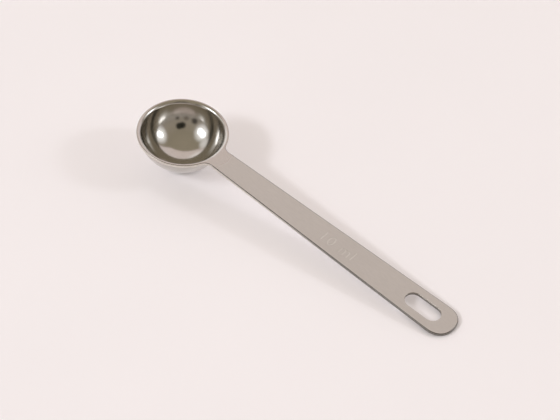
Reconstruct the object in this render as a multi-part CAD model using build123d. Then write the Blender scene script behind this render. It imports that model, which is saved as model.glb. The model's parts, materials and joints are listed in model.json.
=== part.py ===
from build123d import *
from math import asin, atan, atan2, cos, degrees, hypot, sin
import os

# Measuring spoon, pressed from one piece of stainless steel sheet. Lengths are in millimetres.
# It is drawn flat: the sheet's top face lies in z = 0, the bowl's axis is the Z axis and the
# handle runs along +X. At the end it is tipped down onto the surface that it rests on.

# Sheet
sheet_thickness = 1.3        # the same everywhere
edge_break = 0.25            # rounding along the outline, on both faces

# Bowl, and the lip that turns its wall out to the rim
rim_radius = 19.8            # to the outside of the rim
bowl_depth = 15.6            # from the level of the rim to the inside of the bottom
rim_land = 0.1               # flat between the rounding of the rim's edge and the lip
under_lip_radius = 0.4       # bend on the lip's underside

# Handle
handle_reach = 147.5         # from the bowl's axis to the tip
root_width = 10.7            # across the handle at the rim
end_width = 15.3             # across the handle where its sides turn in
end_length = 7.9             # from there to the tip
end_fullness_share = 0.63    # how far the end's curve keeps to its corners
root_fillet = 4.0            # between the rim and the handle's sides

# Hanging slot, with round ends
slot_length = 16.7
slot_width = 7.4
slot_margin = 7.1            # sheet between the slot and the tip

# The bowl is a sphere inside and out, and the lip is an arc that meets it and the flat sheet
# without a corner. Both faces turn through one angle about one centre, a sheet's thickness apart.
land_radius = rim_radius - edge_break - rim_land
lip_radius = under_lip_radius + sheet_thickness
wall_angle = 2 * atan(bowl_depth / land_radius)
inner_radius = land_radius / sin(wall_angle) - lip_radius
outer_radius = inner_radius + sheet_thickness
sphere_rise = inner_radius - bowl_depth

# The handle widens evenly from the rim to where its sides turn in.
end_start = handle_reach - end_length
side_slope = (end_width - root_width) / 2 / (end_start - rim_radius)


def half_width(x):
    """Half the handle's width at this distance from the bowl's axis."""
    return end_width / 2 - side_slope * (end_start - x)


def lip_point(radius, angle):
    """A point on a lip arc, this far round from the flat sheet."""
    return (land_radius - radius * sin(angle), radius * cos(angle) - lip_radius)


def wall_point(radius, angle):
    """A point on a bowl arc, this far round from the bottom."""
    return (radius * sin(angle), sphere_rise - radius * cos(angle))


def filled_bowl(lip, wall):
    """The space inside one face of the bowl, turned from its lip radius and sphere radius."""
    half_angle = wall_angle / 2
    top = lip_point(lip, 0)
    join = lip_point(lip, wall_angle)
    bottom = wall_point(wall, 0)
    with BuildPart() as space:
        with BuildSketch(Plane.XZ):
            with BuildLine():
                ThreePointArc(top, lip_point(lip, half_angle), join)
                ThreePointArc(join, wall_point(wall, half_angle), bottom)
                Polyline(bottom, (0, top[1]), top)
            make_face()
        revolve(axis=Axis.Z)
    return space.part


def end_curve(side):
    """A quarter of the handle's end, from where this side turns in to the tip."""
    pull = end_length * end_fullness_share
    with_side = (end_start + pull, side * half_width(end_start + pull))
    with_tip = (handle_reach, side * half_width(end_start) * end_fullness_share)
    return Bezier((end_start, side * half_width(end_start)), with_side, with_tip, (handle_reach, 0))


def blank():
    """The flat sheet: a disc for the bowl and the handle with its slot, rounded along its outline."""
    with BuildPart() as sheet:
        with BuildSketch():
            with BuildLine():
                ends = [end_curve(side) for side in (1, -1)]
                Polyline(ends[0] @ 0, (0, half_width(0)), (0, -half_width(0)), ends[1] @ 0)
            make_face()
            Circle(rim_radius)
            fillet(vertices().sort_by(Axis.X)[:2], radius=root_fillet)
            with Locations((handle_reach - slot_margin - slot_length / 2, 0)):
                SlotOverall(slot_length, slot_width, mode=Mode.SUBTRACT)
        extrude(amount=-sheet_thickness)
        for face in faces().filter_by(Axis.Z):
            fillet(face.outer_wire().edges(), radius=edge_break)
    return sheet.part


def resting_tilt():
    """How far the spoon tips until the bowl's bottom and the tip's lower edge are level."""
    tip_x = handle_reach - edge_break
    drop = sphere_rise + sheet_thickness - edge_break
    return asin((outer_radius - edge_break) / hypot(tip_x, drop)) - atan2(drop, tip_x)


def at_rest(spoon):
    """Stands the spoon on z = 0 as it lies on a table, centred over the origin."""
    tilt = resting_tilt()
    tipped = Rotation(0, degrees(tilt), 0) * spoon
    standing = Pos(0, 0, outer_radius - sphere_rise * cos(tilt)) * tipped
    middle = standing.bounding_box().center()
    return Pos(-middle.X, -middle.Y, 0) * standing


contents = filled_bowl(lip_radius, inner_radius)
pressed = blank() + filled_bowl(under_lip_radius, outer_radius) - contents
measuring_spoon = at_rest(pressed)

os.makedirs("parts", exist_ok=True)
export_step(measuring_spoon, "parts/measuring_spoon.step")
print("The bowl holds, level with its rim, in cubic millimetres:", round(contents.volume))
print("The handle slopes down to its tip, in degrees:", round(degrees(resting_tilt()), 3))
print("Overall size:", measuring_spoon.bounding_box().size)
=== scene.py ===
# %% [markdown]
# # A steel measuring spoon
#
# The spoon is pressed from one sheet of stainless steel: a deep round bowl with a narrow lip, and a
# long flat handle that widens a little to a rounded end with a hanging slot. It is modelled here in
# millimetres, lying flat, because that is how such a spoon is drawn and measured. At the end it is
# tipped down onto the table and scaled to metres, so that it stands exactly where the solid model does.

# %% Load the solid model
import bpy
import bmesh
import json
import math
from mathutils import Vector
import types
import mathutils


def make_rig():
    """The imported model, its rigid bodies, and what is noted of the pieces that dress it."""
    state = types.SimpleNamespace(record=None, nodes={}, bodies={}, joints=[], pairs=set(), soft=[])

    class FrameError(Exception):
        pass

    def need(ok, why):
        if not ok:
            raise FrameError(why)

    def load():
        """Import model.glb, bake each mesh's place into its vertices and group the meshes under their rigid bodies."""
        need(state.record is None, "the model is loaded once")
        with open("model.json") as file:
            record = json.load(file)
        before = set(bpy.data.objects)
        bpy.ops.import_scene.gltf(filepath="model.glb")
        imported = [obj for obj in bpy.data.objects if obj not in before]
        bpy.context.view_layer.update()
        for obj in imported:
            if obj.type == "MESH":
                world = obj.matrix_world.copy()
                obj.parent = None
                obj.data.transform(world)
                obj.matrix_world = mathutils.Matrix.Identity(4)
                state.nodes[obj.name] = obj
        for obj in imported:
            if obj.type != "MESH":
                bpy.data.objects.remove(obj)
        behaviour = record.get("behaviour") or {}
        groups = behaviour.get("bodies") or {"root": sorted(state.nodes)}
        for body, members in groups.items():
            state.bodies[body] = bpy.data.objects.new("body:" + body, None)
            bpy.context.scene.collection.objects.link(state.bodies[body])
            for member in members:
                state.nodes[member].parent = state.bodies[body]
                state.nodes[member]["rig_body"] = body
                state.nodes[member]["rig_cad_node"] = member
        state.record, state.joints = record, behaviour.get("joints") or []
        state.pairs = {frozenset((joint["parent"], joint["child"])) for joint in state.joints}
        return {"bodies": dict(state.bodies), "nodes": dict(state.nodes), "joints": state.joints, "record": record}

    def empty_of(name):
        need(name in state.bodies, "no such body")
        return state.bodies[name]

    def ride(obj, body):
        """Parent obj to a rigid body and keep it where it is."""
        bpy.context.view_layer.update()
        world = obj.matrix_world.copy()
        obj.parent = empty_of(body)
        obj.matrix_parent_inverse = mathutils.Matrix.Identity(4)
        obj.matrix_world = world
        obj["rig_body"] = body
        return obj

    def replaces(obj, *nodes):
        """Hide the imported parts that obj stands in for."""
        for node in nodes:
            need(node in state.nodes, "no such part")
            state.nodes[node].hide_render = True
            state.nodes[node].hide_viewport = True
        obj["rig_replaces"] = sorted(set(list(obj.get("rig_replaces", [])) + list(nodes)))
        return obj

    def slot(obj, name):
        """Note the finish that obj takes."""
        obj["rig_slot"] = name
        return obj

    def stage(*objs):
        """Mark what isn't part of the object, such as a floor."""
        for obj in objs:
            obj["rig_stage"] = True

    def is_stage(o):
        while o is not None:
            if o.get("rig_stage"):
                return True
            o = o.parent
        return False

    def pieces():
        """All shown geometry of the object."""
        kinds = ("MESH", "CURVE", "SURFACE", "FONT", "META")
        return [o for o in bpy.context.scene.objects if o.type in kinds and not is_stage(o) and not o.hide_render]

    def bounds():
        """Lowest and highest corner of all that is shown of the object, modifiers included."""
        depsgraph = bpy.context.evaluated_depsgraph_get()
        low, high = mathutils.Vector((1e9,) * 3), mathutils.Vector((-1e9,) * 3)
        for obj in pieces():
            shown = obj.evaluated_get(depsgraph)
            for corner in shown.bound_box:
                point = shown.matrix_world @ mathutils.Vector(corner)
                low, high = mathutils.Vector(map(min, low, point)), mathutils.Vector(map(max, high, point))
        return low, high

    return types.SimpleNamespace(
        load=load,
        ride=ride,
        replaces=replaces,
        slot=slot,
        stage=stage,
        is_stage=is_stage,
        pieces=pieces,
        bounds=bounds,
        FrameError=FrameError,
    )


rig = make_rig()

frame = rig.load()
solid_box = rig.bounds()
bpy.ops.object.select_all(action="DESELECT")
print("Solid model's box:", solid_box)

# %% [markdown]
# ## The measurements
#
# A pressed spoon is described by a few lengths. The bowl is part of a sphere, and its lip is an arc
# that leaves the flat sheet without a corner and runs into the sphere without one. Both must turn
# through the same angle, which the depth and the radius of the mouth give. Everything else about the
# section follows from that angle, so the numbers can't disagree.

# %% Measurements in millimetres
SHEET = 1.3  # thickness of the steel
EDGE = 0.25  # rounding of the outline's corners on the underside
RIM_RADIUS = 19.8  # to the outside of the rim
RIM_LAND = 0.1  # flat between the rim's rounding and the lip
UNDER_LIP_RADIUS = 0.4  # bend on the lip's underside
BOWL_DEPTH = 15.6  # from the level of the rim to the inside of the bottom

HANDLE_REACH = 147.5  # from the bowl's axis to the tip
ROOT_WIDTH = 10.7  # across the handle at the rim
END_WIDTH = 15.3  # across the handle where its sides turn in
END_LENGTH = 7.9  # from there to the tip
END_FULLNESS = 0.63  # how far the end's curve keeps to its corners
ROOT_FILLET = 4.0  # between the rim and the handle's sides

SLOT_LENGTH = 16.7
SLOT_WIDTH = 7.4
SLOT_MARGIN = 7.1  # sheet between the slot and the tip
print("The spoon is", RIM_RADIUS + HANDLE_REACH, "mm long along its handle")

# %% Work out the bowl's section
mouth_radius = RIM_RADIUS - EDGE - RIM_LAND
lip_radius = UNDER_LIP_RADIUS + SHEET
wall_angle = 2 * math.atan(BOWL_DEPTH / mouth_radius)
sphere_radius = mouth_radius / math.sin(wall_angle) - lip_radius
sphere_height = sphere_radius - BOWL_DEPTH
print("The wall turns through", round(math.degrees(wall_angle), 2), "degrees")
print("The bowl is a sphere of", round(sphere_radius, 3), "mm about a centre at", round(sphere_height, 3))

# %% [markdown]
# ## The bowl
#
# The real bowl is drawn into the sheet by a round punch, so it is a turned shape. It could be carved
# from a sphere, but then the lip would have to be cut and rounded afterwards. Spinning a profile gives
# both at once: one vertex on the mouth is spun about the lip's centre, then about the sphere's centre
# down to the bottom, and the finished profile is spun once round the bowl's axis. Spin turns clockwise
# when one looks against its axis, so the two arcs, which bend opposite ways, have opposite axes.

# %% Start from one point
SEED = 0.1  # any small size will do, because the triangle shrinks to a point at once


def add_point(place):
    """Adds a small triangle and merges it to a single vertex, ready for extruding or spinning."""
    bpy.ops.mesh.select_all(action="DESELECT")
    bpy.ops.mesh.primitive_circle_add(vertices=3, radius=SEED, location=place)
    bpy.ops.mesh.merge(type="CENTER")


def selected_place():
    """Where the selected vertex is, rounded for printing."""
    mesh = bmesh.from_edit_mesh(bpy.context.object.data)
    return [round(c, 3) for c in next(v.co for v in mesh.verts if v.select)]


bpy.ops.mesh.primitive_circle_add(vertices=3, radius=SEED, location=(0, 0, 0))
spoon = bpy.context.object
spoon.name = "pressed_spoon"
bpy.ops.object.mode_set(mode="EDIT")
bpy.ops.mesh.select_mode(type="VERT")
bpy.ops.mesh.delete(type="VERT")
add_point((mouth_radius, 0, 0))
print("The profile starts at", selected_place())

# %% Spin the profile, then the bowl
LIP_STEPS = 14
WALL_STEPS = 48
TURN_STEPS = 160
MERGE_WITHIN = 0.0005

lip_centre = (mouth_radius, 0, -lip_radius)
bpy.ops.mesh.spin(steps=LIP_STEPS, angle=wall_angle, center=lip_centre, axis=(0, 1, 0))
print("The lip ends at", selected_place())
sphere_centre = (0, 0, sphere_height)
bpy.ops.mesh.spin(steps=WALL_STEPS, angle=wall_angle, center=sphere_centre, axis=(0, -1, 0))
print("The wall ends at", selected_place())
bpy.ops.mesh.select_all(action="SELECT")
bpy.ops.mesh.spin(steps=TURN_STEPS, angle=math.tau, center=(0, 0, 0), axis=(0, 0, 1))
bpy.ops.mesh.select_all(action="SELECT")
bpy.ops.mesh.remove_doubles(threshold=MERGE_WITHIN)
bpy.ops.object.mode_set(mode="OBJECT")
print("The bowl has", len(spoon.data.polygons), "faces")

# %% [markdown]
# ## The outline of the sheet
#
# The blank that the press starts from has one outline: round the rim, in through a hollow rounding to
# the side of the handle, along the side, and round the end. Half of it is drawn with the tools that
# suit each stretch, spin for the two arcs and extrude for the straight side and the end, and the other
# half is its mirror image. The end is fuller than a half circle, so it follows a curve with two handles
# that keep it to its corners.
#
# The hollow rounding touches the rim and the side. Its centre is therefore one radius outside both: it
# lies where a circle round the rim meets a line beside the handle, which is a quadratic equation in X.

# %% Work out where the outline's stretches meet
end_start = HANDLE_REACH - END_LENGTH
side_slope = (END_WIDTH - ROOT_WIDTH) / 2 / (end_start - RIM_RADIUS)


def half_width(x):
    """Half the handle's width at this distance from the bowl's axis."""
    return END_WIDTH / 2 - side_slope * (end_start - x)


lean = math.hypot(1, side_slope)
offset_side = half_width(0) + ROOT_FILLET * lean
reach = RIM_RADIUS + ROOT_FILLET
half_b = offset_side * side_slope
centre_x = (math.sqrt(half_b**2 - lean**2 * (offset_side**2 - reach**2)) - half_b) / lean**2
fillet_centre = Vector((centre_x, offset_side + side_slope * centre_x, 0))
rim_end = fillet_centre * (RIM_RADIUS / reach)
side_start = fillet_centre + Vector((side_slope, -1, 0)) * (ROOT_FILLET / lean)
rim_turn = math.pi - math.atan2(rim_end.y, rim_end.x)
fillet_turn = (rim_end - fillet_centre).angle(side_start - fillet_centre)
print("The rim meets the rounding at", tuple(round(c, 2) for c in rim_end))
print("The straight side starts at", tuple(round(c, 2) for c in side_start))


# %% Points on the handle's end
def end_point(share):
    """A point on the curved end, this share of the way from where the side turns in to the tip."""
    pull = END_LENGTH * END_FULLNESS
    start = Vector((end_start, half_width(end_start), 0))
    with_side = Vector((end_start + pull, half_width(end_start + pull), 0))
    with_tip = Vector((HANDLE_REACH, half_width(end_start) * END_FULLNESS, 0))
    tip = Vector((HANDLE_REACH, 0, 0))
    rest = 1 - share
    near_side = start * rest**3 + with_side * 3 * rest**2 * share
    return near_side + with_tip * 3 * rest * share**2 + tip * share**3


print("Half way round, the end is at", tuple(round(c, 2) for c in end_point(0.5)))

# %% Draw half the outline
RIM_STEPS = 70
FILLET_STEPS = 14
END_STEPS = 20


def extrude_to(step):
    """Extrudes the selected vertex by this step, which draws the next edge of an outline."""
    bpy.ops.mesh.extrude_region_move(TRANSFORM_OT_translate={"value": step})


bpy.ops.object.mode_set(mode="EDIT")
add_point((-RIM_RADIUS, 0, 0))
bpy.ops.mesh.spin(steps=RIM_STEPS, angle=rim_turn, center=(0, 0, 0), axis=(0, 0, 1))
print("The rim's arc ends at", selected_place())
bpy.ops.mesh.spin(steps=FILLET_STEPS, angle=fillet_turn, center=fillet_centre, axis=(0, 0, -1))
print("The rounding ends at", selected_place())
extrude_to(end_point(0) - side_start)
for step in range(END_STEPS):
    extrude_to(end_point((step + 1) / END_STEPS) - end_point(step / END_STEPS))
print("The outline ends at", selected_place())

# %% [markdown]
# The other half is a copy of the first, turned over across the handle. By hand one would click on the
# half outline to select it. In a script, vertices are chosen by where they are: the outline's lie level
# with the top of the sheet and outside the mouth. Everything is deselected first, because every tool
# acts on all that is selected.

# %% Mirror the outline
ON_LEVEL = 1e-4


def select_points(test):
    """Selects exactly the vertices whose position passes the test, with the edges between them."""
    bpy.ops.mesh.select_all(action="DESELECT")
    mesh = bmesh.from_edit_mesh(bpy.context.object.data)
    chosen = [v for v in mesh.verts if test(v.co)]
    for v in chosen:
        v.select_set(True)
    mesh.select_flush(True)
    bmesh.update_edit_mesh(bpy.context.object.data)
    return len(chosen)


def on_outline(p):
    """Whether this place is level with the sheet's top and outside the bowl's mouth."""
    return abs(p.z) < ON_LEVEL and p.xy.length > (RIM_RADIUS + mouth_radius) / 2


print("Half the outline has", select_points(on_outline), "vertices")
bpy.ops.mesh.duplicate()
bpy.ops.transform.resize(value=(1, -1, 1), center_override=(0, 0, 0))
select_points(on_outline)
bpy.ops.mesh.remove_doubles(threshold=MERGE_WITHIN)
print("The whole outline has", select_points(on_outline), "vertices")

# %% [markdown]
# ## The hanging slot
#
# A punch cuts the slot out of the flat sheet, so it has round ends and straight sides. It is a circle
# whose two halves are moved apart. The circle is turned by half a step so that no vertex lies on the
# line where it is parted, and it is a trace larger so that the straight sides are exactly as far apart
# as the slot is wide.

# %% Draw the slot
SLOT_STEPS = 56
OVER_HALF = 0.51  # a trace more than half a width, to take in what lies on the edge

slot_centre = HANDLE_REACH - SLOT_MARGIN - SLOT_LENGTH / 2
half_step = math.pi / SLOT_STEPS
bpy.ops.mesh.select_all(action="DESELECT")
bpy.ops.mesh.primitive_circle_add(
    vertices=SLOT_STEPS,
    radius=SLOT_WIDTH / 2 / math.cos(half_step),
    location=(slot_centre, 0, 0),
    rotation=(0, 0, half_step),
)
for side in (1, -1):
    half_slot = select_points(
        lambda p: 0 < side * (p.x - slot_centre) < SLOT_WIDTH and abs(p.y) < SLOT_WIDTH * OVER_HALF
    )
    bpy.ops.transform.translate(value=(side * (SLOT_LENGTH - SLOT_WIDTH) / 2, 0, 0))
    print(half_slot, "vertices moved to one end of the slot")

# %% [markdown]
# ## One sheet
#
# Mouth, outline and slot now lie in one plane. Filling between them gives the sheet's top face, with
# many thin triangles. They are dissolved into a few large flat faces, because the rounding of the
# edges that comes later needs clean faces to run along. The normals are made to point up while the
# sheet still has no thickness.

# %% Fill the sheet
FLAT_WITHIN = math.radians(1)

on_sheet = select_points(lambda p: abs(p.z) < ON_LEVEL)
print(on_sheet, "vertices lie round the mouth, the outline and the slot")
bpy.ops.mesh.fill(use_beauty=True)
bpy.ops.mesh.dissolve_limited(angle_limit=FLAT_WITHIN)
bpy.ops.mesh.select_all(action="SELECT")
bpy.ops.mesh.remove_doubles(threshold=MERGE_WITHIN)
bpy.ops.mesh.normals_make_consistent(inside=False)
bpy.ops.object.mode_set(mode="OBJECT")

# %% Make the top face up
UPRIGHT = 0.99999  # a normal this steep points straight up or down

flat_faces = [
    f for f in spoon.data.polygons if abs(f.normal.z) > UPRIGHT and abs(f.center.z) < ON_LEVEL
]
print("The flat of the sheet has", len(flat_faces), "faces, facing", round(flat_faces[0].normal.z))
if flat_faces[0].normal.z < 0:
    bpy.ops.object.mode_set(mode="EDIT")
    bpy.ops.mesh.flip_normals()
    bpy.ops.object.mode_set(mode="OBJECT")

# %% [markdown]
# ## Thickness and four finishes
#
# The sheet is the same thickness everywhere, also round the lip, so Solidify makes the other side with
# even thickness. It is all one steel, but each kind of surface was left by another tool and shines in
# its own way: the polished faces, the walls that the press cut through the sheet, the corners that were
# tumbled round, and the slot, which its punch burnished. The walls and corners also carry painted
# reflection and shade in their colour. Each gets a material of its own, and Solidify gives the second
# one to the faces that it adds round the outline and the slot.

# %% Solidify
FINISHES = ("polished_steel", "cut_edge_steel", "tumbled_corner_steel", "burnished_slot_steel")
POLISHED, CUT, TUMBLED, BURNISHED = range(len(FINISHES))


def apply_modifier(kind, **settings):
    """Adds a modifier with these settings to the spoon and applies it."""
    modifier = spoon.modifiers.new(kind.lower(), kind)
    for name, value in settings.items():
        setattr(modifier, name, value)
    bpy.ops.object.modifier_apply(modifier=modifier.name)


for name in FINISHES:
    spoon.data.materials.append(bpy.data.materials.new(name))
apply_modifier(
    "SOLIDIFY",
    thickness=SHEET,
    offset=-1,
    use_even_offset=True,
    use_quality_normals=True,
    material_offset_rim=CUT,
)
cut_walls = [f for f in spoon.data.polygons if f.material_index == CUT]
print("The walls cut by the press have", len(cut_walls), "faces")

# %% [markdown]
# ## Rounded corners
#
# A cut sheet has sharp corners, and a spoon's are tumbled so that they don't cut a finger. The upper
# ones stand free in the tumbler and wear most, the lower ones less, and those of the slot hardly at
# all. The whole shape could be given one Bevel modifier, but then all would be alike, and the lip would
# be rounded too. So each set is selected by its height and by the square corner that it makes, and
# bevelled by itself. The lowest strip of an upper corner already faces sideways and looks like the
# wall under it, so it goes over to the wall's finish.

# %% Round the corners
TOP_ROUNDING = 0.32
SLOT_ROUNDING = 0.15
SQUARE = math.radians(60)  # corners sharper than this count as square
SIDEWAYS = 0.45  # a face whose normal rises less than this belongs to the wall
SAME_HEIGHT = 0.001


def round_corners(level, width, steps, finish, of_slot):
    """Rounds the square corners at this height, either those of the slot or all the others."""
    bpy.ops.mesh.select_all(action="DESELECT")
    mesh = bmesh.from_edit_mesh(spoon.data)
    corners = 0
    for e in mesh.edges:
        middle = (e.verts[0].co + e.verts[1].co) / 2
        from_slot = abs(middle.x - slot_centre)
        in_slot = from_slot < SLOT_LENGTH * OVER_HALF and abs(middle.y) < SLOT_WIDTH * OVER_HALF
        at_level = all(abs(v.co.z - level) < SAME_HEIGHT for v in e.verts)
        if at_level and in_slot == of_slot and e.calc_face_angle(0) > SQUARE:
            e.select_set(True)
            corners += 1
    bmesh.update_edit_mesh(spoon.data)
    bpy.ops.mesh.bevel(offset=width, segments=steps, affect="EDGES", material=finish)
    print(corners, "edges rounded by", width, "at height", level)


bpy.ops.object.mode_set(mode="EDIT")
bpy.ops.mesh.select_mode(type="EDGE")
round_corners(level=0, width=TOP_ROUNDING, steps=4, finish=TUMBLED, of_slot=False)
round_corners(level=0, width=SLOT_ROUNDING, steps=3, finish=BURNISHED, of_slot=True)
round_corners(level=-SHEET, width=EDGE, steps=3, finish=CUT, of_slot=False)
bpy.ops.object.mode_set(mode="OBJECT")
for face in spoon.data.polygons:
    if face.material_index == TUMBLED and face.normal.z < SIDEWAYS:
        face.material_index = CUT
print("The spoon has", len(spoon.data.polygons), "faces and is", [round(d, 2) for d in spoon.dimensions])

# %% [markdown]
# ## The mark
#
# The capacity is cut shallowly into the handle, and reads with the bowl on the left. An image could
# carry it, but real cuts catch the light from any side. Thin letters are made as text, turned into a
# mesh, and taken away from the sheet with a Boolean modifier. The floor of the cut gets its own dull
# material, which is what makes a mark this shallow readable on steel.

# %% Write the mark
MARK_START = 78.8  # from the bowl's axis to the first letter
MARK_HEIGHT = 5.0
MARK_DEPTH = 0.08
CAPITAL_SHARE = 0.69  # the digits' height as a share of the text's size
BASELINE_SHARE = 0.58  # how much of the digits' height lies below the handle's middle
LETTER_SPACING = 1.12
STROKE_THINNING = -0.05

bpy.ops.object.select_all(action="DESELECT")
bpy.ops.object.text_add(location=(0, 0, 0))
mark = bpy.context.object
mark.data.body = "10 ml"
mark.data.size = MARK_HEIGHT / CAPITAL_SHARE
mark.data.space_character = LETTER_SPACING
mark.data.offset = STROKE_THINNING
mark.data.extrude = MARK_DEPTH
mark.location = (MARK_START, -MARK_HEIGHT * BASELINE_SHARE, 0)
dull_cut = bpy.data.materials.new("dull_cut")
mark.data.materials.append(dull_cut)
bpy.ops.object.convert(target="MESH")
bpy.ops.object.transform_apply(location=True, rotation=True, scale=True)
bpy.ops.object.mode_set(mode="EDIT")
bpy.ops.mesh.select_all(action="SELECT")
bpy.ops.mesh.remove_doubles(threshold=MERGE_WITHIN)
bpy.ops.mesh.normals_make_consistent(inside=False)
bpy.ops.object.mode_set(mode="OBJECT")
print("The mark is", [round(d, 2) for d in mark.dimensions])

# %% Cut the mark
bpy.ops.object.select_all(action="DESELECT")
bpy.context.view_layer.objects.active = spoon
spoon.select_set(True)
apply_modifier("BOOLEAN", object=mark, operation="DIFFERENCE", solver="EXACT", material_mode="TRANSFER")
bpy.data.objects.remove(mark)
cut_faces = [f for f in spoon.data.polygons if spoon.data.materials[f.material_index] == dull_cut]
print(len(cut_faces), "faces belong to the mark")

# %% [markdown]
# ## Smooth shading
#
# A polished bowl shows every facet as a kink in its reflections. Shading smooth by angle keeps the
# corners of the mark crisp and smooths all the rest. Weighted normals let the large flat faces win over
# the narrow ones beside them, so the handle still reflects like a flat sheet up to its rounded edge.

# %% Shade smooth and weight the normals
SMOOTH_BELOW = math.radians(50)

bpy.ops.object.shade_smooth_by_angle(angle=SMOOTH_BELOW)
apply_modifier("WEIGHTED_NORMAL", mode="FACE_AREA", weight=50, keep_sharp=True)
print(sum(f.use_smooth for f in spoon.data.polygons), "faces are shaded smooth")

# %% [markdown]
# ## Tip the spoon onto the table
#
# A spoon like this lies on the bottom of its bowl and the tip of its handle, so the handle slopes down.
# The record's level face gives a point on the handle's top, 70 mm from the bowl's axis, and the
# direction that is square to it. The slope and the place of the bowl follow from these two.

# %% Place the spoon
FACE_FROM_BOWL = 0.070
MILLIMETRE = 0.001

level_face = next(m for m in frame["record"]["mounts"] if m["name"] == "level_face")
upright = Vector(level_face["axis"]).normalized()
along = Vector((upright.z, 0, -upright.x))
bowl_place = Vector(level_face["pos_m"]) - along * FACE_FROM_BOWL
slope = math.atan2(upright.x, upright.z)
spoon.rotation_euler = (0, slope, 0)
spoon.location = bowl_place
spoon.scale = (MILLIMETRE, MILLIMETRE, MILLIMETRE)
bpy.ops.object.transform_apply(location=True, rotation=True, scale=True)
print("The handle slopes", round(math.degrees(slope), 2), "degrees")

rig.replaces(spoon, "measuring_spoon")
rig.slot(spoon, "steel")
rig.ride(spoon, "root")

# %% [markdown]
# ## The steel
#
# Stainless steel is a slightly warm grey metal. The bowl is polished and mirrors the room, the handle
# is satin: fine, short polishing marks along its length break its reflection up. Two materials would
# meet in a hard line. One does both here, because it is one sheet, and its polish changes gradually
# with the distance from the bottom of the bowl. All patterns are laid out on the spoon's own
# coordinates, so they stay on it wherever it goes.


# %% Node helpers
def empty_tree(owner):
    """Gives a material or a world an empty tree of nodes."""
    owner.use_nodes = True
    owner.node_tree.nodes.clear()
    return owner.node_tree


def feed(tree, socket, value):
    """Links an output to this socket, or sets the socket to a plain number, colour or vector."""
    if isinstance(value, bpy.types.NodeSocket):
        tree.links.new(value, socket)
    else:
        socket.default_value = value


def add_node(tree, kind, **settings):
    """Adds a node. A name that matches an input, with _ for a space, feeds it; others are properties."""
    node = tree.nodes.new(kind)
    for name, value in settings.items():
        socket = node.inputs.get(name.replace("_", " "))
        if socket is None:
            setattr(node, name, value)
        else:
            feed(tree, socket, value)
    return node


def calculate(tree, kind, operation, *values):
    """A node that works with these values, in their order, and gives one result."""
    node = add_node(tree, kind, operation=operation)
    for socket, value in zip(node.inputs, values):
        feed(tree, socket, value)
    return next(output for output in node.outputs if output.enabled)


def maths(tree, operation, *values):
    """Works with plain values."""
    return calculate(tree, "ShaderNodeMath", operation, *values)


def vector_maths(tree, operation, *values):
    """Works with places and directions."""
    return calculate(tree, "ShaderNodeVectorMath", operation, *values)


# %% [markdown]
# A few more helpers take up what every finish needs: a noise for its grain, a ramp that turns a value
# into colours, a node that maps one range of values onto another, evenly or with a soft start and end,
# and the metal shader that each steel ends in.


# %% Helpers for patterns
USUAL_NOISE = (0.3, 0.7)  # noise seldom leaves this range, so its colours are laid out over it


def object_place(tree):
    """The place on the piece itself, in metres."""
    return add_node(tree, "ShaderNodeTexCoord").outputs["Object"]


def noise(tree, where, scale, detail, roughness=0.5):
    """Cloudy noise; a scale of three numbers stretches it along the axes."""
    if isinstance(scale, tuple):
        where = add_node(tree, "ShaderNodeMapping", Vector=where, Scale=scale).outputs["Vector"]
        scale = 1.0
    node = add_node(tree, "ShaderNodeTexNoise", Vector=where, Scale=scale, Detail=detail, Roughness=roughness)
    return node.outputs["Fac"]


def ramp(tree, share, stops, interpolation="LINEAR"):
    """Colours over a share from 0 to 1; each stop is (place, colour)."""
    node = add_node(tree, "ShaderNodeValToRGB", Fac=share)
    node.color_ramp.interpolation = interpolation
    elements = node.color_ramp.elements
    while len(elements) < len(stops):
        elements.new(0.5)
    for element, (position, colour) in zip(elements, stops):
        element.position = position
        element.color = (*colour, 1)
    return node.outputs["Color"]


def noise_colours(tree, value, dark, light):
    """Colours from dark to light over a noise."""
    return ramp(tree, value, list(zip(USUAL_NOISE, (dark, light))))


def remap(tree, value, start, end, low=0.0, high=1.0, interpolation="LINEAR"):
    """Turns start to end into low to high."""
    node = add_node(
        tree,
        "ShaderNodeMapRange",
        interpolation_type=interpolation,
        Value=value,
        From_Min=start,
        From_Max=end,
        To_Min=low,
        To_Max=high,
    )
    return node.outputs["Result"]


def grey(value):
    """A grey as a colour."""
    return (value, value, value)


def finish_metal(tree, colour, roughness, metallic, normal):
    """Ends a steel's tree with one metal shader."""
    metal = add_node(
        tree,
        "ShaderNodeBsdfPrincipled",
        Base_Color=colour,
        Roughness=roughness,
        Metallic=metallic,
        Normal=normal,
    )
    add_node(tree, "ShaderNodeOutputMaterial", Surface=metal.outputs["BSDF"])


# %% How the polish changes
POLISH_REACH = 0.04  # metres from the bottom of the bowl, past which all is satin
# Each pair is a distance from the bottom of the bowl, in metres, and the roughness there.
POLISH = ((0.011, 0.12), (0.014, 0.14), (0.025, 0.14), (0.031, 0.33), (0.04, 0.33))
UNEVENNESS = 0.12  # the polish is this much finer here and coarser there

steel = empty_tree(spoon.data.materials[POLISHED])
place = object_place(steel)
bowl_bottom = bowl_place - upright * MILLIMETRE * BOWL_DEPTH
away = vector_maths(steel, "DISTANCE", place, bowl_bottom)
far = maths(steel, "DIVIDE", away, POLISH_REACH)
stops = [(distance / POLISH_REACH, grey(roughness)) for distance, roughness in POLISH]
polish = ramp(steel, far, stops, "B_SPLINE")
wander = noise(steel, place, scale=60.0, detail=3.0)
spread = remap(steel, wander, start=0.25, end=0.75, low=1 - UNEVENNESS, high=1 + UNEVENNESS)
rough = maths(steel, "MULTIPLY", polish, spread)
print("The polish goes from", POLISH[0][1], "in the bowl to", POLISH[-1][1], "on the handle")

# %% [markdown]
# The polishing marks run along the handle, so their noise is ten times finer across than along. They
# change the colour by a few percent and give the surface a relief. On the wall of the bowl the press
# leaves other marks: the sheet is stretched there, which shows as faint streaks from the lip down.
# Their noise reads only the direction from the bowl's axis, so it doesn't change on the way down.

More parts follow.
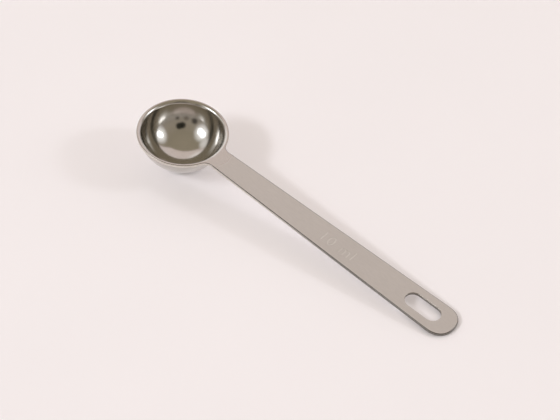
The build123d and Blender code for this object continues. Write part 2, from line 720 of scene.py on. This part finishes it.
# %% Polishing marks and draw marks
STEEL_COLOUR = (0.62, 0.597, 0.565)
DARK_SHARE = 0.96
LIGHT_SHARE = 1.03
SCRATCH_RELIEF = 0.00002
DRAW_RELIEF = 0.00003

marks = noise(steel, place, scale=(260, 2600, 2600), detail=3.0, roughness=0.6)
dark_steel, light_steel = (tuple(c * s for c in STEEL_COLOUR) for s in (DARK_SHARE, LIGHT_SHARE))
tone = noise_colours(steel, marks, dark_steel, light_steel)
relief = add_node(steel, "ShaderNodeBump", Strength=0.03, Distance=SCRATCH_RELIEF, Height=marks)

from_axis = vector_maths(steel, "SUBTRACT", place, bowl_place)
level = vector_maths(steel, "MULTIPLY", from_axis, (1, 1, 0))
around = vector_maths(steel, "NORMALIZE", level)
draws = noise(steel, around, scale=9.0, detail=4.0, roughness=0.65)
on_bowl_wall = remap(steel, away, start=0.010, end=0.020, low=0.0, high=DRAW_RELIEF)
drawn = add_node(
    steel,
    "ShaderNodeBump",
    Strength=1.0,
    Height=draws,
    Distance=on_bowl_wall,
    Normal=relief.outputs["Normal"],
)
print("The draw marks are", round(DRAW_RELIEF / MILLIMETRE, 3), "mm deep at most")

# %% [markdown]
# Satin steel is dusty with tiny scratches, and they throw a little light back in all directions. A pure
# metal only mirrors, so on the handle a fifth of the metal gives way to plain grey.

# %% Put the steel together
SATIN_METAL = 0.8

mirror_share = remap(
    steel, away, start=0.025, end=0.034, low=1.0, high=SATIN_METAL, interpolation="SMOOTHSTEP"
)
finish_metal(steel, tone, rough, mirror_share, drawn.outputs["Normal"])
print("The polished steel has", len(steel.nodes), "nodes")

# %% [markdown]
# ## Cut walls and worn corners
#
# The press shears the sheet, and the walls that it leaves have fine marks straight through the sheet.
# They scatter the light and mirror little. In their colour the walls are painted bright round the bowl,
# a painted reflection of the lit table, and painted dark towards the handle's end, a painted reflection
# of the shaded table beside it, while the tumbled corners are bright only round the rim and carry a
# painted dark line along the whole handle, a painted reflection of the dim ceiling. The slot's wall is
# bright and smooth, because its punch fits tightly. One recipe makes all three: a grey that changes
# along the spoon, which is painted reflection and shade, a grain from the shearing, and a roughness.


# %% Blend two colours
def blend_colours(tree, share, under, over, blend_type="MIX"):
    """Blends one colour over another; a colour is an output, or three numbers."""
    mix = add_node(tree, "ShaderNodeMix", data_type="RGBA", blend_type=blend_type)
    sockets = {socket.identifier: socket for socket in mix.inputs}
    feed(tree, sockets["Factor_Float"], share)
    for name, colour in (("A_Color", under), ("B_Color", over)):
        feed(tree, sockets[name], (*colour, 1) if isinstance(colour, tuple) else colour)
    return next(output for output in mix.outputs if output.identifier == "Result_Color")


# %% Steel for the edges
EDGE_SPAN = 0.1  # the greys are laid out from this far behind the origin to this far before it
WARMTH = (1, 0.95, 0.88)  # what makes a grey as warm as steel


def edge_steel(finish, greys, roughness):
    """Steel for an edge, whose grey changes along X as painted reflection and shade; each grey is (metres, grey)."""
    tree = empty_tree(spoon.data.materials[finish])
    place = object_place(tree)
    shear = noise(tree, place, scale=(9000, 9000, 1500), detail=2.0)
    split = add_node(tree, "ShaderNodeSeparateXYZ", Vector=place)
    along_spoon = remap(tree, split.outputs["X"], -EDGE_SPAN, EDGE_SPAN)
    stops = [((x + EDGE_SPAN) / (2 * EDGE_SPAN), tuple(g * w for w in WARMTH)) for x, g in greys]
    # The grey along the spoon is painted reflection and shade; the slot's grey stays even.
    painted_reflection_along_spoon = ramp(tree, along_spoon, stops)
    grain = noise_colours(tree, shear, grey(0.88), grey(1.0))
    grained = blend_colours(tree, 1.0, painted_reflection_along_spoon, grain, "MULTIPLY")
    ridges = add_node(tree, "ShaderNodeBump", Strength=0.2, Distance=SCRATCH_RELIEF, Height=shear)
    finish_metal(tree, grained, roughness, metallic=1.0, normal=ridges.outputs["Normal"])
    print(FINISHES[finish], "has", len(greys), "greys")


# Painted reflection along the spoon: the walls light near the bowl and dark towards the tip, the corners a dark line
# along the handle.
wall_painted_reflection_greys = ((-0.02, 0.80), (0.0, 0.62), (0.028, 0.30), (0.06, 0.27))
corner_painted_reflection_greys = ((-0.046, 0.55), (-0.040, 0.12), (0.0, 0.07), (0.03, 0.13), (0.06, 0.22))
slot_greys = ((-0.02, 0.66), (0.06, 0.66))
edge_steel(CUT, wall_painted_reflection_greys, roughness=0.32)
edge_steel(TUMBLED, corner_painted_reflection_greys, roughness=0.25)
edge_steel(BURNISHED, slot_greys, roughness=0.12)

# %% [markdown]
# ## The floor of the mark
#
# Where the mark is cut the steel is rough and scatters the light, so it looks paler and duller than the
# polish round it, whatever the light. A rough metal with a fine grain gives that.

# %% Dull cut steel
DULL_DARK = (0.74, 0.71, 0.68)
DULL_LIGHT = (0.86, 0.84, 0.81)
PIT_RELIEF = 0.00003

tree = empty_tree(dull_cut)
grain = noise(tree, object_place(tree), scale=6000.0, detail=2.0)
shade = noise_colours(tree, grain, DULL_DARK, DULL_LIGHT)
pits = add_node(tree, "ShaderNodeBump", Strength=0.4, Distance=PIT_RELIEF, Height=grain)
finish_metal(tree, shade, roughness=0.62, metallic=0.8, normal=pits.outputs["Normal"])
print("The dull cut has", len(tree.nodes), "nodes")

# %% [markdown]
# ## The table
#
# The spoon lies on a plain, slightly warm white sheet of paper. It is a wide disc, so that every view
# of the spoon has it all round. Faint clouds in its colour keep it from looking computed.
#
# In a real room the walls and the ceiling throw light back onto the paper, so it stays bright even in
# the shade. Building the whole room for that would be much work for one plain surface. The paper gives
# off a little light of its own instead. Only the camera and the rays that the steel mirrors see it, so
# it lights nothing else, and it fades where something stands close over the paper, which keeps the
# dark line under the bowl and the tip.

# %% Make the table
TABLE_RADIUS = 3.0
TABLE_STEPS = 96

bpy.ops.object.select_all(action="DESELECT")
bpy.ops.mesh.primitive_circle_add(
    vertices=TABLE_STEPS, radius=TABLE_RADIUS, fill_type="NGON", location=(0, 0, 0)
)
table = bpy.context.object
table.name = "table"
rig.stage(table)
paper = bpy.data.materials.new("white_paper")
table.data.materials.append(paper)
print("The table is", 2 * TABLE_RADIUS, "m across")

# %% White paper
PAPER_DARK = (0.70, 0.658, 0.656)
PAPER_LIGHT = (0.712, 0.669, 0.667)
PAPER_LIFT = 0.41  # the share of its colour that the paper gives off by itself
NEAR_SHADE = 0.0025  # within this distance of something, it gives off less

tree = empty_tree(paper)
clouds = noise(tree, object_place(tree), scale=9.0, detail=2.0)
tint = noise_colours(tree, clouds, PAPER_DARK, PAPER_LIGHT)
ray = add_node(tree, "ShaderNodeLightPath")
seen = maths(tree, "MAXIMUM", ray.outputs["Is Camera Ray"], ray.outputs["Is Glossy Ray"])
near = add_node(tree, "ShaderNodeAmbientOcclusion", Distance=NEAR_SHADE)
unshaded = maths(tree, "MULTIPLY", seen, near.outputs["AO"])
sheet = add_node(
    tree,
    "ShaderNodeBsdfPrincipled",
    Base_Color=tint,
    Roughness=0.75,
    Specular_IOR_Level=0.2,
    Emission_Color=tint,
    Emission_Strength=maths(tree, "MULTIPLY", unshaded, PAPER_LIFT),
)
add_node(tree, "ShaderNodeOutputMaterial", Surface=sheet.outputs["BSDF"])
print("The paper gives off", PAPER_LIFT, "of its colour")

# %% [markdown]
# ## The room
#
# Steel has hardly any colour of its own: what one sees is the room in it. The bowl mirrors the ceiling,
# which is dim and slightly olive, and the handle mirrors a pale wall behind the spoon, whose upper edge
# shows as a line across the bowl. A picture could be wrapped round the scene, but a few soft shapes are
# enough and can be moved one by one.
#
# Each part of the room is told by its direction. The dot product of a direction with an axis grows as
# the two come together, so a smooth step over it gives a soft round patch when the axis points at the
# patch, and a soft straight edge when the axis is square to the edge.

# %% A patch or an edge by direction
world = bpy.data.worlds.new("room")
bpy.context.scene.world = world
air = empty_tree(world)
look = add_node(air, "ShaderNodeTexCoord").outputs["Generated"]


def direction(azimuth, rise):
    """The unit vector towards this azimuth and height above the horizon, in degrees."""
    turn, lift = math.radians(azimuth), math.radians(rise)
    return Vector((math.cos(lift) * math.cos(turn), math.cos(lift) * math.sin(turn), math.sin(lift)))


def facing(azimuth, rise, none, full):
    """0 where the angle to this direction is over none degrees, and 1 where it is under full degrees."""
    dot = vector_maths(air, "DOT_PRODUCT", look, direction(azimuth, rise))
    start, end = (math.cos(math.radians(angle)) for angle in (none, full))
    return remap(air, dot, start, end, interpolation="SMOOTHSTEP")


print("Azimuth 0 and rise 0 point along", tuple(direction(0, 0)))


# %% The ceiling and the wall by their height
def height_colours(stops):
    """Colours over the height above the horizon; each stop is (degrees, colour)."""
    return ramp(air, height, [((math.sin(math.radians(angle)) + 1) / 2, colour) for angle, colour in stops])


height = remap(air, add_node(air, "ShaderNodeSeparateXYZ", Vector=look).outputs["Z"], -1, 1)
ceiling_stops = (
    (-20, (0.80, 0.76, 0.75)),
    (0, (0.38, 0.35, 0.32)),
    (12, (0.38, 0.34, 0.30)),
    (17, (0.34, 0.30, 0.25)),
    (25, (0.38, 0.33, 0.27)),
    (55, (0.34, 0.295, 0.22)),
    (90, (0.37, 0.32, 0.24)),
)
wall_stops = (
    (-20, (0.80, 0.76, 0.75)),
    (0, (0.60, 0.56, 0.56)),
    (10, (0.70, 0.64, 0.63)),
    (22, (0.86, 0.77, 0.76)),
    (70, (0.80, 0.69, 0.64)),
)
ceiling, wall = height_colours(ceiling_stops), height_colours(wall_stops)
print("The ceiling has", len(ceiling_stops), "colours by height, and the wall", len(wall_stops))

# %% The wall, and what stands in the room
wall_top = facing(azimuth=128, rise=-21, none=93, full=87)
wall_start = facing(azimuth=160, rise=0, none=93, full=87)
wall_end = facing(azimuth=100, rise=0, none=99, full=81)
in_wall = maths(air, "MULTIPLY", maths(air, "MULTIPLY", wall_top, wall_start), wall_end)
room = blend_colours(air, in_wall, ceiling, wall)

BRIGHT_PANE = (1.1, 1.04, 1.02)
DARK_FITTING = (0.02, 0.02, 0.015)
DIM_CORNER = (0.20, 0.17, 0.14)
DARK_GAP = (0.08, 0.07, 0.06)
furnishings = (  # azimuth, rise, none and full in degrees, and colour
    (162, 28, 26, 8, BRIGHT_PANE),
    (-31, 37, 11, 6, DARK_FITTING),
    (-42, 36, 11, 6, DARK_FITTING),
    (-54, 17, 9, 2, DIM_CORNER),
    (-79, 21, 10, 5, DARK_GAP),
    (-30, 15, 6, 2, DARK_GAP),
)
for azimuth, rise, none, full, colour in furnishings:
    room = blend_colours(air, facing(azimuth, rise, none, full), room, colour)
print("A wall and", len(furnishings), "other things stand in the room")

# %% [markdown]
# ## Two lamps
#
# Two soft lamps give the two faint shadows and the bright spots in the bowl. A bare lamp would show in
# the steel as a hard white shape, and from some sides it would make the whole handle flash. What one
# really sees in the bowl is a soft screen with a glow round it. So each lamp is made twice: as a soft
# bright patch in the room, which is what the steel mirrors, and as a lamp that lights the table but
# stays hidden from mirrored rays.

# %% Glow of the lamps in the steel
GLOW_COLOUR = (5.5, 5.7, 6.0)
glows = (  # azimuth, rise, none and full in degrees, and strength
    (-110, 37, 10, 3, 1.0),
    (-123, 36, 10, 3, 1.0),
    (-117, 36, 27, 2, 0.14),
    (-152, 38, 17, 2, 0.10),
    (40, 22, 9, 2, 1.0),
    (38, 27, 8, 2, 1.0),
    (40, 24, 25, 2, 0.15),
)
glow = 0.0
for azimuth, rise, none, full, strength in glows:
    patch = maths(air, "MULTIPLY", facing(azimuth, rise, none, full), strength)
    glow = maths(air, "MAXIMUM", glow, patch)
room = blend_colours(air, glow, room, GLOW_COLOUR)
print(len(glows), "patches make the glow")

# %% [markdown]
# Straight at the camera the room is not the point: past the table's edge one should see only a plain
# pale studio background, so camera rays get that instead.

# %% Pale background
BACKGROUND = (0.90, 0.84, 0.825)

is_camera = add_node(air, "ShaderNodeLightPath").outputs["Is Camera Ray"]
sky = add_node(air, "ShaderNodeBackground", Color=blend_colours(air, is_camera, room, BACKGROUND))
add_node(air, "ShaderNodeOutputWorld", Surface=sky.outputs["Background"])
print("The room has", len(air.nodes), "nodes")

# %% [markdown]
# Each lamp is placed by the direction that its shadow points away from, and its size by how soft the
# shadow is: both are wider than they are high. Its power follows from the light that it gives the
# table, as a share of what a plain white room would give, so it holds at any distance.

# %% Add the lamps
LAMP_DISTANCE = 1.5
LAMP_COLOUR = (0.95, 1.0, 1.1)


def add_lamp(name, azimuth, rise, width, tall, share):
    """An oval lamp, as wide and tall as these degrees, that gives this share of the table's light."""
    towards = direction(azimuth, rise)
    bpy.ops.object.light_add(type="AREA", location=towards * LAMP_DISTANCE)
    lamp = bpy.context.object
    lamp.name = name
    lamp.rotation_euler = towards.to_track_quat("Z", "Y").to_euler()
    lamp.visible_glossy = False
    lamp.data.shape = "ELLIPSE"
    lamp.data.color = LAMP_COLOUR
    lamp.data.size = 2 * LAMP_DISTANCE * math.tan(math.radians(width / 2))
    lamp.data.size_y = 2 * LAMP_DISTANCE * math.tan(math.radians(tall / 2))
    lamp.data.energy = share * math.pi**2 * LAMP_DISTANCE**2 / math.sin(math.radians(rise))
    print(name, "has", round(lamp.data.energy, 2), "W")


add_lamp("right_lamp", azimuth=41.8, rise=29.1, width=8, tall=5.5, share=0.068)
add_lamp("left_lamp", azimuth=-120.3, rise=37.7, width=17, tall=7, share=0.14)

# %% [markdown]
# ## The camera
#
# A long lens looks down at 45 degrees from the side of the handle's end, far enough away that the
# spoon hardly narrows. It is aimed at a point near the spoon's middle, just above the table, and it
# turns round that point: its place is a direction and a distance, so either can be changed alone.

# %% Set the camera
AIM = Vector((-0.00503, -0.00311, 0.0107))
CAMERA_AZIMUTH = -48.344
CAMERA_RISE = 45.167
CAMERA_DISTANCE = 0.66096
SENSOR_WIDTH = 36
LENS = 103.025

towards_camera = direction(CAMERA_AZIMUTH, CAMERA_RISE)
bpy.ops.object.camera_add(location=AIM + towards_camera * CAMERA_DISTANCE)
camera = bpy.context.object
camera.name = "camera"
camera.rotation_euler = towards_camera.to_track_quat("Z", "Y").to_euler()
camera.data.sensor_width = SENSOR_WIDTH
camera.data.lens = LENS
camera.data.clip_start = 0.01
bpy.context.scene.camera = camera
bpy.context.scene.view_settings.view_transform = "Standard"
print("The camera is at", tuple(round(c, 4) for c in camera.location))

# %% [markdown]
# ## The two boxes
#
# The box of the solid model and the box of what is shown are written side by side.

# %% Write the two boxes and finish
with open("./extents.json", "w") as sizes:
    boxes = {"solid": solid_box, "shown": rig.bounds()}
    json.dump({name: [list(map(float, corner)) for corner in box] for name, box in boxes.items()}, sizes)
print(open("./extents.json").read())
